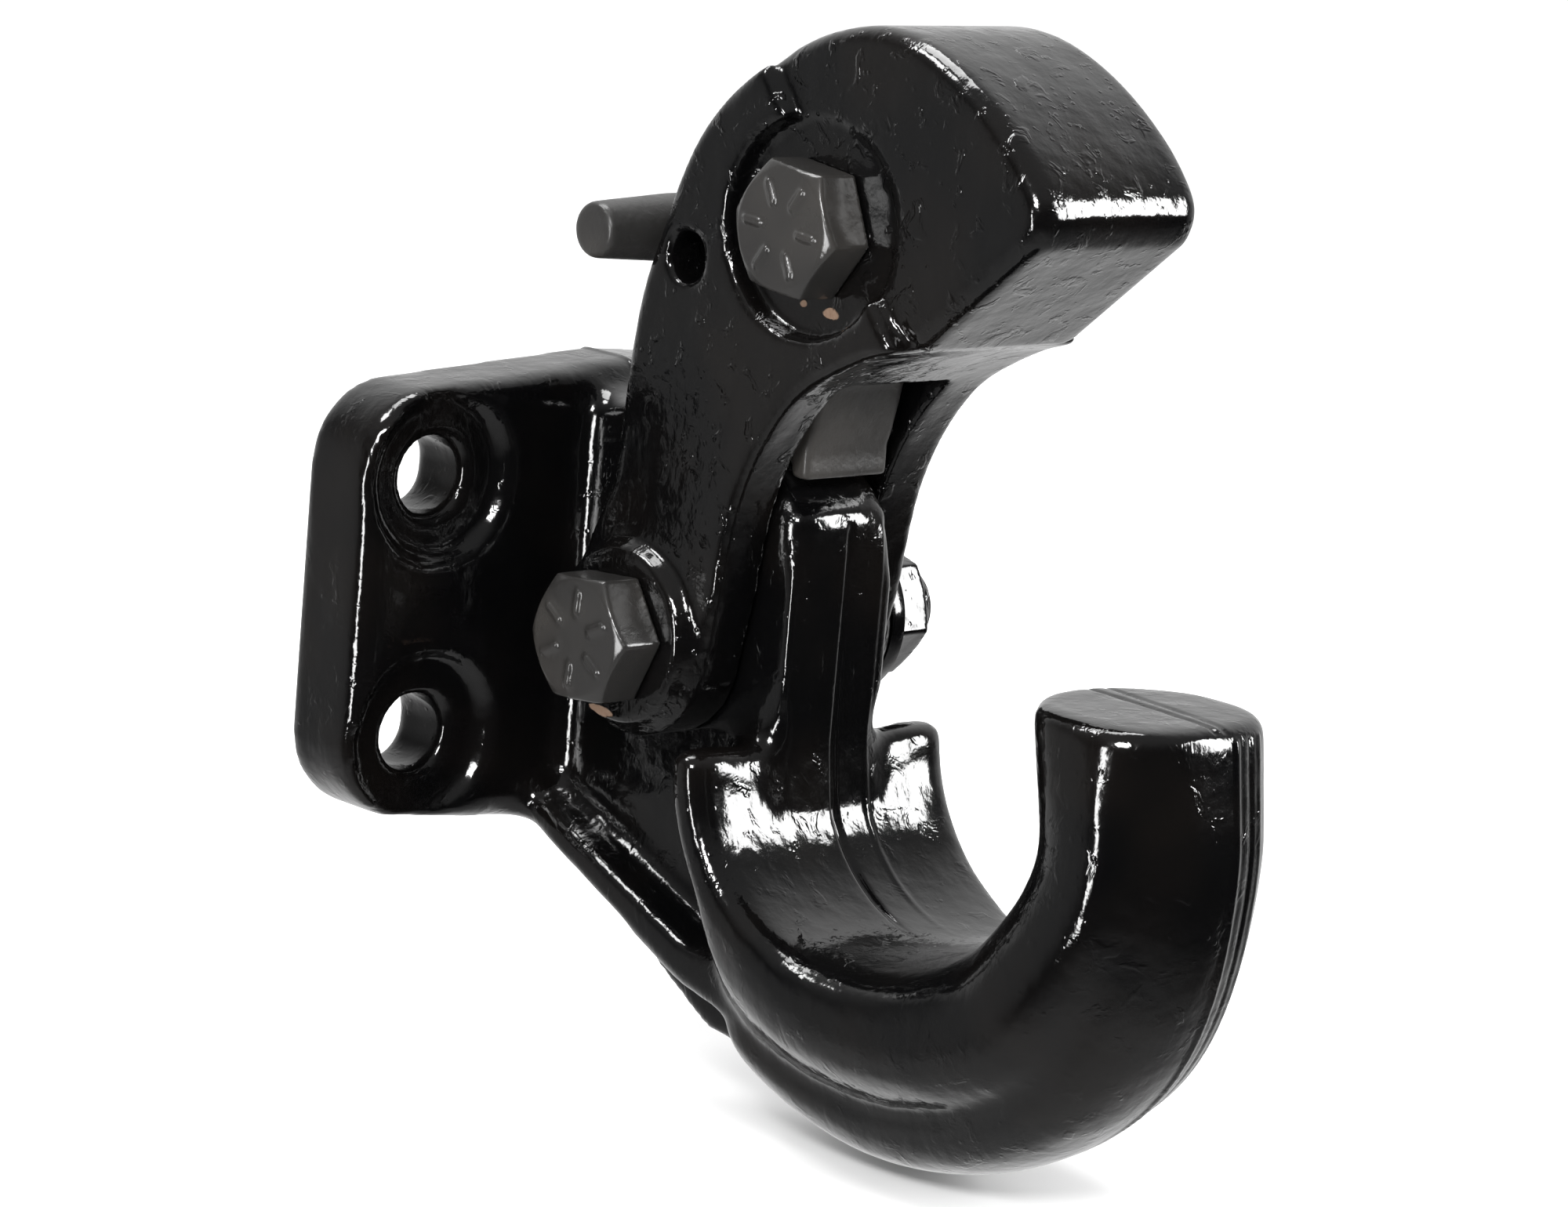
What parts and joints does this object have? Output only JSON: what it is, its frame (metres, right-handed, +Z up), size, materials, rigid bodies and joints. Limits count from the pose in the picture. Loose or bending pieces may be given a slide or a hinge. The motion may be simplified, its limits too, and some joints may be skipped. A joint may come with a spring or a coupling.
{
  "type": "pintle hook",
  "caption": "Rigid-mount towing pintle hook: a forged hook body on a bolt-on plate, a pivoting upper latch and a sprung lock lever that holds it.",
  "frame": {"origin": "centre of the bolt pattern, on the mounting plate's back face", "axes": "+Y out of the plate's back, towards the vehicle; the mouth faces -Y; +Z up; X across the hook along the pivot bolts"},
  "size_m": [0.118, 0.1584, 0.1869],
  "materials": {
    "body_enamel": "gloss black enamel on forged steel",
    "latch_enamel": "gloss black enamel on a cast surface",
    "lever_enamel": "gloss black enamel",
    "spring_steel": "plain spring wire",
    "pivot_bolt_enamel": "gloss black enamel",
    "washer_enamel": "gloss black enamel",
    "pivot_nut_enamel": "gloss black enamel",
    "lock_bolt_enamel": "gloss black enamel",
    "lock_nut_enamel": "gloss black enamel"
  },
  "bodies": {
    "hook": {"hook_body": "body_enamel"},
    "jaw": {"latch": "latch_enamel", "latch_pivot_bolt": "pivot_bolt_enamel", "latch_pivot_washer": "washer_enamel", "latch_pivot_nut": "pivot_nut_enamel", "lock_pivot_bolt": "lock_bolt_enamel", "lock_pivot_nut": "lock_nut_enamel"},
    "lock": {"lock_lever": "lever_enamel", "lock_spring": "spring_steel"}
  },
  "joints": [
    {"name": "latch_pivot", "type": "hinge", "parent": "hook", "child": "jaw", "pos_m": [0, -0.043, -0.0003], "axis": [1, 0, 0], "range_deg": [-22, 39]},
    {"name": "lock_pivot", "type": "hinge", "parent": "jaw", "child": "lock", "pos_m": [0, -0.0759, 0.0731], "axis": [-1, 0, 0], "range_deg": [0, 6], "stiffness_Nm_per_rad": 1}
  ]
}
